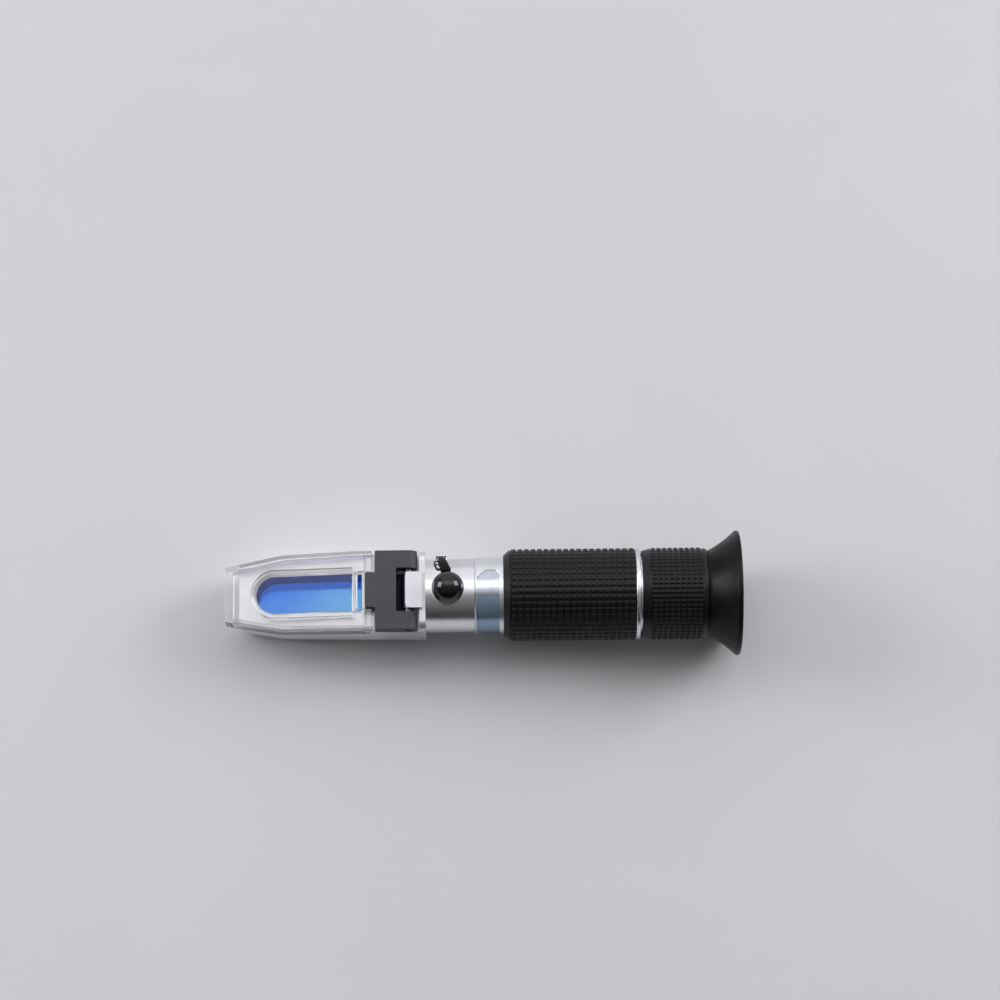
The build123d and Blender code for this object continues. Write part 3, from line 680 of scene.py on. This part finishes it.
class EdgeSettings(bpy.types.PropertyGroup):
    casting: length_value("Casting edge", "Edge radius of the prism box", 0.3 * MM)
    plastic: length_value("Plastic edge", "Edge radius of the mouldings", 0.25 * MM)
    turned: length_value("Turned edge", "Edge break of the turned parts", 0.12 * MM)
    wire: length_value("Wire edge", "Edge break of the wire staple", 0.02 * MM)
    recess: length_value("Recess depth", "Depth of the collar's recess", 0.35 * MM)
    prism_strip: length_value("Prism strip", "Width of the pale strip", 1.4 * MM)


class KeeperSettings(bpy.types.PropertyGroup):
    length: length_value("Keeper length", "Length of the strap's link", 4.2 * MM)
    width: length_value("Keeper width", "Width of the strap's link", 1.9 * MM)
    wire: length_value("Keeper wire", "Radius of the link's round wall", 0.24 * MM)
    angle: angle_value("Keeper angle", "From the tube's top to the link", 37)
    tilt: angle_value("Keeper tilt", "Turn of the link beside the strap", 15)


class StageSettings(bpy.types.PropertyGroup):
    distance: length_value("Camera distance", "From the camera to the object", 1.0)
    elevation: angle_value("Camera elevation", "Above the horizon", 77)
    lean: angle_value("Camera lean", "Towards the cover", 0.22)
    roll: angle_value("Camera roll", "Turn of the picture", 0.58)
    aim: place_value("Aim", "Middle of the picture, in the optical frame", 0.08573, 0.02898, 0.0067)
    frame_width: length_value("Frame width", "Width that the picture shows at the object", 0.3122)
    floor: colour_value("Floor", "Colour of the floor", 206, 207, 211)
    floor_size: length_value("Floor size", "Side of the square floor", 6.0)
    side_lights: strength_value("Side lights", "Power of each side lamp", 7.5)
    side_size: size_value("Side lamps", "Width and height of each side lamp", 0.6, 0.6)
    left_place: place_value("Left lamp", "Where the left lamp hangs", -1.05, 0.3, 0.55)
    right_place: place_value("Right lamp", "Where the right lamp hangs", 1.0, 0.45, 0.6)
    back_light: strength_value("Back light", "Power of the lamp behind", 1.7)
    back_size: size_value("Back lamp", "Width and height of the lamp behind", 1.3, 0.5)
    back_place: place_value("Back lamp place", "Where the lamp behind hangs", 0.0, 0.5, 1.08)
    sky: strength_value("Sky", "Strength of the surroundings overhead and behind", 0.92)
    dusk: strength_value("Dusk", "Strength of the fading light in front", 0.24)
    sky_rise: angle_value("Sky rise", "Height of the sky's middle", 44)
    sky_start: angle_value("Sky start", "From the middle to full sky", 33)
    sky_end: angle_value("Sky end", "From the middle to the sky's edge", 56)
    dusk_start: angle_value("Dusk start", "From the middle to full dusk", 45.6)
    dusk_end: angle_value("Dusk end", "From the middle to darkness", 148)


class RefractometerSettings(bpy.types.PropertyGroup):
    finish: PointerProperty(type=FinishSettings)
    rubber: PointerProperty(type=RubberSettings)
    edges: PointerProperty(type=EdgeSettings)
    keeper: PointerProperty(type=KeeperSettings)
    stage: PointerProperty(type=StageSettings)


def settings():
    return bpy.context.scene.refractometer


# Operators


class REFRACTOMETER_OT_prism_box(bpy.types.Operator):
    """Plated casting, with the prism and its seal"""

    bl_idname = "refractometer.prism_box"
    bl_label = "Prism box"

    def execute(self, context):
        s = settings()
        lug_top = span("prism_housing")[1].z
        lug = [p for p in places("prism_housing") if p.z > lug_top - LEVEL]
        casting = cast_box(
            "plated casting",
            pad=s.finish.casting[:],
            lug=s.finish.lug[:],
            pocket_shade=s.finish.pocket_shade[:],
            rough=s.finish.casting_roughness,
            hinge_start=span("cover_plate")[1].x - 5 * MM,
            lug_front=min(p.x for p in lug),
            lug_half_width=max(p.y for p in lug),
            lug_top=lug_top,
        )
        box = refined("prism_housing", "prism_box", s.edges.casting, segments=3)
        mounted(box, "instrument", casting, "prism_housing")
        prism = refined("main_prism", "prism_glass", s.edges.turned)
        glass = prism_glass("blue prism glass", s.finish, *span("main_prism"), s.edges.prism_strip)
        mounted(prism, "instrument", glass, "main_prism")
        dress("prism_seal", rubber("pale silicone", linear(238, 239, 242), rough=0.4))
        return {"FINISHED"}


class REFRACTOMETER_OT_cover(bpy.types.Operator):
    """Clear cover with its screws"""

    bl_idname = "refractometer.cover"
    bl_label = "Clear cover"

    def execute(self, context):
        cover = refined("cover_plate", "clear_cover", settings().edges.plastic)
        # Painted shade for the cover's sideways faces
        wall_shade = linear(212, 212, 226)
        acrylic = clear("clear plastic", (0.985, 0.99, 0.995), rough=0.0, index=1.45, wall_shade=wall_shade)
        mounted(cover, "cover", acrylic, "cover_plate")
        dress("cover_screws", plated("bright steel", linear(196, 197, 201), rough=0.2))
        return {"FINISHED"}


class REFRACTOMETER_OT_hinge(bpy.types.Operator):
    """Hinge block and its pin"""

    bl_idname = "refractometer.hinge"
    bl_label = "Hinge"

    def execute(self, context):
        s = settings()
        block = refined("hinge_block", "hinge_moulding", s.edges.plastic, segments=3)
        satin = satin_plastic("satin black plastic", s.finish.hinge[:], rough=0.5)
        mounted(block, "cover", satin, "hinge_block")
        pin = refined("hinge_pin", "hinge_axle", s.edges.turned)
        mounted(pin, "cover", plated("blued steel", linear(96, 97, 104), rough=0.3), "hinge_pin")
        return {"FINISHED"}


class REFRACTOMETER_OT_plated_tubes(bpy.types.Operator):
    """Plated tube, boss, collar and the ring behind the grip"""

    bl_idname = "refractometer.plated_tubes"
    bl_label = "Plated tubes"

    def execute(self, context):
        s = settings()
        chrome, rough = s.finish.chrome[:], s.finish.chrome_roughness
        bright = plated("bright plating", chrome, rough, brushed=0.6)
        for node, name in (
            ("front_tube", "plated_tube"),
            ("calibration_boss", "screw_boss"),
            ("trim_ring", "bright_ring"),
            ("main_barrel", "barrel_tube"),
        ):
            mounted(refined(node, name, s.edges.turned), "instrument", bright, node)
        low, high = span("neck_collar")
        # The recess's lacquer colour, and the painted shade for its near half
        tint_and_near_shade = (s.finish.lacquer[:], s.finish.lacquer_near_shade[:])
        lacquer = lacquered_recess(
            "plating with a lacquered recess", chrome, *tint_and_near_shade, rough, low, high, s.edges.recess
        )
        collar = refined("neck_collar", "plated_collar", s.edges.turned, angle=40)
        mounted(collar, "instrument", lacquer, "neck_collar")
        return {"FINISHED"}


class REFRACTOMETER_OT_cap(bpy.types.Operator):
    """Ball-shaped cap, its strap and the wire staple"""

    bl_idname = "refractometer.cap"
    bl_label = "Cap and strap"

    def execute(self, context):
        s = settings()
        cap = refined("calibration_cap", "ball_cap", s.edges.turned, angle=40)
        polish = gloss_plastic("glossy black plastic", s.finish.cap[:], rough=0.14, gloss=0.6)
        mounted(cap, "cap", polish, "calibration_cap")
        soft = gloss_plastic("glossy black rubber", s.finish.cap[:], rough=0.22, gloss=0.15)
        strap = refined("cap_strap", "rubber_strap", s.edges.turned, segments=3)
        strap.data.materials.clear()
        strap.data.materials.append(soft)
        low, high = span("cap_strap")
        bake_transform(strap)
        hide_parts("cap_strap")
        staple = refined("strap_staple", "wire_staple", s.edges.wire, segments=1, angle=60)
        wire = plated("plated wire", s.finish.chrome[:], rough=0.1)
        mounted(staple, "instrument", wire, "strap_staple")
        dress("calibration_screw", plated("brass", linear(214, 182, 110), rough=0.25))
        keeper = self.keeper(s.keeper, low.x)
        keeper.data.materials.append(soft)
        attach(keeper, "instrument")
        return {"FINISHED"}

    def keeper(self, s, strap_edge):
        """Small rubber link on the tube against the strap: a ring with its halves drawn apart."""
        clear_selection()
        bpy.ops.mesh.primitive_torus_add(
            major_segments=36,
            minor_segments=12,
            major_radius=s.width / 2 - s.wire,
            minor_radius=s.wire,
        )
        link = bpy.context.active_object
        link.name = link.data.name = "strap_keeper"
        bpy.ops.object.mode_set(mode="EDIT")
        bpy.ops.mesh.select_all(action="DESELECT")
        bpy.ops.object.mode_set(mode="OBJECT")
        for vertex in link.data.vertices:
            vertex.select = vertex.co.y > DRAWN_WELD
        bpy.ops.object.mode_set(mode="EDIT")
        bpy.ops.transform.translate(value=(0, s.length - s.width, 0))
        bpy.ops.object.mode_set(mode="OBJECT")
        x = strap_edge + s.width / 5
        height = span("front_tube")[1].z + s.wire
        link.location = (x, height * math.sin(s.angle), height * math.cos(s.angle))
        link.rotation_mode = "ZYX"
        link.rotation_euler = (-s.angle, 0, s.tilt)
        laid_down(link)
        bpy.ops.object.shade_smooth()
        return link


class REFRACTOMETER_OT_grip(bpy.types.Operator):
    """Ribbed rubber grip with its smooth front rim"""

    bl_idname = "refractometer.grip"
    bl_label = "Grip"

    def execute(self, context):
        grip = sleeve("ribbed_grip", "grip_sleeve")
        ribs = rubber("grip rubber", settings().finish.rubber[:], rough=0.36, gloss=0.3)
        mounted(grip, "instrument", ribs, "grip_sleeve")
        return {"FINISHED"}


class REFRACTOMETER_OT_focus_ring(bpy.types.Operator):
    """Ribbed focus ring between smooth rims"""

    bl_idname = "refractometer.focus_ring"
    bl_label = "Focus ring"

    def execute(self, context):
        ring = sleeve("ribbed_focus_ring", "focus_ring")
        ribs = rubber("focus rubber", settings().finish.rubber[:], rough=0.3, gloss=0.3)
        mounted(ring, "eyepiece", ribs, "focus_ring")
        return {"FINISHED"}


class REFRACTOMETER_OT_eyecup(bpy.types.Operator):
    """Flared rubber eyecup with a rolled lip"""

    bl_idname = "refractometer.eyecup"
    bl_label = "Eyecup"

    def execute(self, context):
        s = settings()
        low, high = span("eyecup")
        inner = bore("eyecup")
        neck = radius_near("eyecup", low.x)
        lip, fillet = s.rubber.lip, s.rubber.fillet
        lip_centre = (high.x - lip, high.z - lip)
        floor = high.x - s.rubber.cup_depth
        # Where the lip's roll starts and ends, seen from its centre
        roll_start, roll_end = (-0.6, 0.8), (0.5, -0.87)
        flare_start = (low.x + fillet, neck + fillet / 8)
        flare_end = tuple(c + lip * d for c, d in zip(lip_centre, roll_start))
        cup_start = tuple(c + lip * d for c, d in zip(lip_centre, roll_end))
        # Shares of their widening that the flare and the cup have halfway along
        flare_share, cup_share = 0.43, 0.48
        flare_rise, cup_rise = flare_end[1] - neck, cup_start[1] - inner
        flare_middle = ((flare_start[0] + flare_end[0]) / 2, neck + flare_rise * flare_share)
        cup_middle = ((floor + cup_start[0]) / 2, inner + cup_rise * cup_share)
        outline = [
            (low.x, inner),
            (low.x, neck - fillet / 4),
            (low.x + fillet / 4, neck),
            *curve_through(flare_start, flare_middle, flare_end, steps=16),
            *arc(lip_centre, lip, start=127, end=-60, steps=14)[1:-1],
            *curve_through(cup_start, cup_middle, (floor, inner + fillet / 4), steps=14),
            (floor, inner),
        ]
        cup = turned("flared_eyecup", outline, steps=160)
        soften(cup, fillet / 10)
        laid_down(cup)
        skin = rubber("eyecup rubber", s.finish.eyecup[:], rough=0.3, gloss=0.16)
        mounted(cup, "eyepiece", skin, "eyecup")
        return {"FINISHED"}


class REFRACTOMETER_OT_inner_pieces(bpy.types.Operator):
    """Lenses, scale, objective cell and the other inner pieces"""

    bl_idname = "refractometer.inner_pieces"
    bl_label = "Inner pieces"

    def execute(self, context):
        black = plated("black anodised", linear(40, 40, 43), rough=0.35)
        matt = satin_plastic("matt black paint", linear(26, 26, 28), rough=0.7)
        # Painted shade for the rims of the lenses and the scale
        wall_shade = linear(210, 220, 226)
        glass = clear("coated glass", (0.93, 0.96, 0.99), rough=0.0, index=1.52, wall_shade=wall_shade)
        steel = plated("spring steel", linear(176, 178, 184), rough=0.22)
        brass = plated("rolled brass", linear(206, 176, 112), rough=0.28)
        seal = rubber("seal rubber", linear(30, 30, 32), rough=0.55)
        for material, nodes in (
            (black, ("eyepiece_shell", "lens_spacer", "objective_cell")),
            (matt, ("light_baffle", "reticle_retainer", "lens_retainer", "cell_ring")),
            (glass, ("eye_lens", "field_lens", "crown_lens", "flint_lens", "reticle_disc")),
            (steel, ("cell_spring", "bimetal_screws")),
            (seal, ("barrel_seal", "focus_seal")),
        ):
            for node in nodes:
                dress(node, material)
        self.compensating_strip(brass)
        return {"FINISHED"}

    def compensating_strip(self, brass):
        """Brass strip between its screws and the cell that it carries, cut across into lengths."""
        low, high = span("bimetal_strip")
        strip = refined("bimetal_strip", "compensating_strip", settings().edges.turned / 2)
        bpy.ops.object.mode_set(mode="EDIT")
        bends = 16
        for n in range(1, bends):
            bpy.ops.mesh.select_all(action="SELECT")
            cut = LAID @ Vector((low.x + (high.x - low.x) * n / bends, 0, 0))
            bpy.ops.mesh.bisect(plane_co=cut, plane_no=AXIS)
        bpy.ops.mesh.customdata_custom_splitnormals_clear()
        bpy.ops.object.mode_set(mode="OBJECT")
        strip.data.materials.clear()
        strip.data.materials.append(brass)
        screws = LAID @ Vector((span("bimetal_screws")[0].x, 0, low.z))
        cell = LAID @ Vector((span("objective_cell")[1].x, 0, low.z))
        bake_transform(strip)
        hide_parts("bimetal_strip")


class REFRACTOMETER_OT_stage(bpy.types.Operator):
    """Floor, soft lights, surroundings and camera"""

    bl_idname = "refractometer.stage"
    bl_label = "Stage"

    def execute(self, context):
        s = settings().stage
        self.floor(s)
        self.lamp("left light", s.left_place, s.side_size, s.side_lights)
        self.lamp("right light", s.right_place, s.side_size, s.side_lights)
        self.lamp("back light", s.back_place, s.back_size, s.back_light)
        self.surroundings(s)
        self.camera(s)
        context.scene.view_settings.view_transform = "Standard"
        return {"FINISHED"}

    def floor(self, s):
        """Plain pale floor with a faint grain."""
        clear_selection()
        bpy.ops.mesh.primitive_plane_add(size=s.floor_size)
        floor = bpy.context.active_object
        floor.name = "floor"
        paper = Finish("floor paper", Roughness=0.9)
        grain = paper.ramp(paper.noise(40 * MM, detail=3), 0.3, 0.7)
        paper.colour(paper.blend(grain, s.floor[:], shade(s.floor[:], 0.99)))
        floor.data.materials.append(paper.material)

    def lamp(self, name, position, size, power):
        """Rectangular soft light that faces the object."""
        bpy.ops.object.light_add(type="AREA", location=position)
        light = bpy.context.active_object
        light.name = name
        light.data.shape = "RECTANGLE"
        light.data.size, light.data.size_y = size
        light.data.energy = power
        light.rotation_mode = "QUATERNION"
        light.rotation_quaternion = (-Vector(position)).to_track_quat("-Z", "Y")

    def surroundings(self, s):
        """Soft white dome overhead and behind, that dims towards the front like an unlit room."""
        world = bpy.data.worlds.new("studio")
        world.use_nodes = True
        tree = world.node_tree
        coordinates = tree.nodes.new("ShaderNodeTexCoord")
        facing = tree.nodes.new("ShaderNodeVectorMath")
        facing.operation = "DOT_PRODUCT"
        facing.inputs[1].default_value = (0, math.cos(s.sky_rise), math.sin(s.sky_rise))
        tree.links.new(coordinates.outputs["Generated"], facing.inputs[0])
        light = tree.nodes.new("ShaderNodeMath")
        dusk, sky = (s.dusk_end, s.dusk_start, s.dusk), (s.sky_end, s.sky_start, s.sky - s.dusk)
        for entry, (end, start, power) in zip(light.inputs, (dusk, sky)):
            fade = tree.nodes.new("ShaderNodeMapRange")
            fade.interpolation_type = "SMOOTHSTEP"
            fade.inputs["From Min"].default_value = math.cos(end)
            fade.inputs["From Max"].default_value = math.cos(start)
            fade.inputs["To Max"].default_value = power
            tree.links.new(facing.outputs["Value"], fade.inputs["Value"])
            tree.links.new(fade.outputs["Result"], entry)
        tree.links.new(light.outputs["Value"], tree.nodes["Background"].inputs["Strength"])
        tree.nodes["Background"].inputs["Color"].default_value = (1, 1, 1, 1)
        bpy.context.scene.world = world

    def camera(self, s):
        """Looks square to the optical axis, from over the near side."""
        level = math.cos(s.lean)
        back = Vector((-math.sin(s.lean), -math.cos(s.elevation) * level, math.sin(s.elevation) * level))
        right = Matrix.Rotation(-s.roll, 3, back) @ (Vector((1, 0, 0)) - back * back.x).normalized()
        look = Matrix((right, back.cross(right), back)).transposed().to_4x4()
        bpy.ops.object.camera_add()
        camera = bpy.context.active_object
        camera.name = "camera"
        camera.matrix_world = LAID @ Matrix.Translation(Vector(s.aim) + back * s.distance) @ look
        camera.data.lens = camera.data.sensor_width * s.distance / s.frame_width
        camera.data.dof.use_dof = False
        bpy.context.scene.camera = camera


OPERATORS = (
    REFRACTOMETER_OT_prism_box,
    REFRACTOMETER_OT_cover,
    REFRACTOMETER_OT_hinge,
    REFRACTOMETER_OT_plated_tubes,
    REFRACTOMETER_OT_cap,
    REFRACTOMETER_OT_grip,
    REFRACTOMETER_OT_focus_ring,
    REFRACTOMETER_OT_eyecup,
    REFRACTOMETER_OT_inner_pieces,
    REFRACTOMETER_OT_stage,
)


class REFRACTOMETER_PT_panel(bpy.types.Panel):
    bl_label = "Refractometer"
    bl_idname = "REFRACTOMETER_PT_panel"
    bl_space_type = "VIEW_3D"
    bl_region_type = "UI"
    bl_category = "Refractometer"

    def draw(self, context):
        for group in ("finish", "rubber", "edges", "keeper", "stage"):
            values = getattr(settings(), group)
            box = self.layout.box()
            for name in values.__annotations__:
                box.prop(values, name)
        for operator in OPERATORS:
            self.layout.operator(operator.bl_idname)


CLASSES = (
    FinishSettings,
    RubberSettings,
    EdgeSettings,
    KeeperSettings,
    StageSettings,
    RefractometerSettings,
    *OPERATORS,
    REFRACTOMETER_PT_panel,
)


def register():
    for cls in CLASSES:
        bpy.utils.register_class(cls)
    bpy.types.Scene.refractometer = PointerProperty(type=RefractometerSettings)


def unregister():
    del bpy.types.Scene.refractometer
    for cls in reversed(CLASSES):
        bpy.utils.unregister_class(cls)


def main():
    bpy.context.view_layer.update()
    register()
    for operator in OPERATORS:
        group, name = operator.bl_idname.split(".")
        getattr(getattr(bpy.ops, group), name)()


if __name__ == "__main__":
    main()
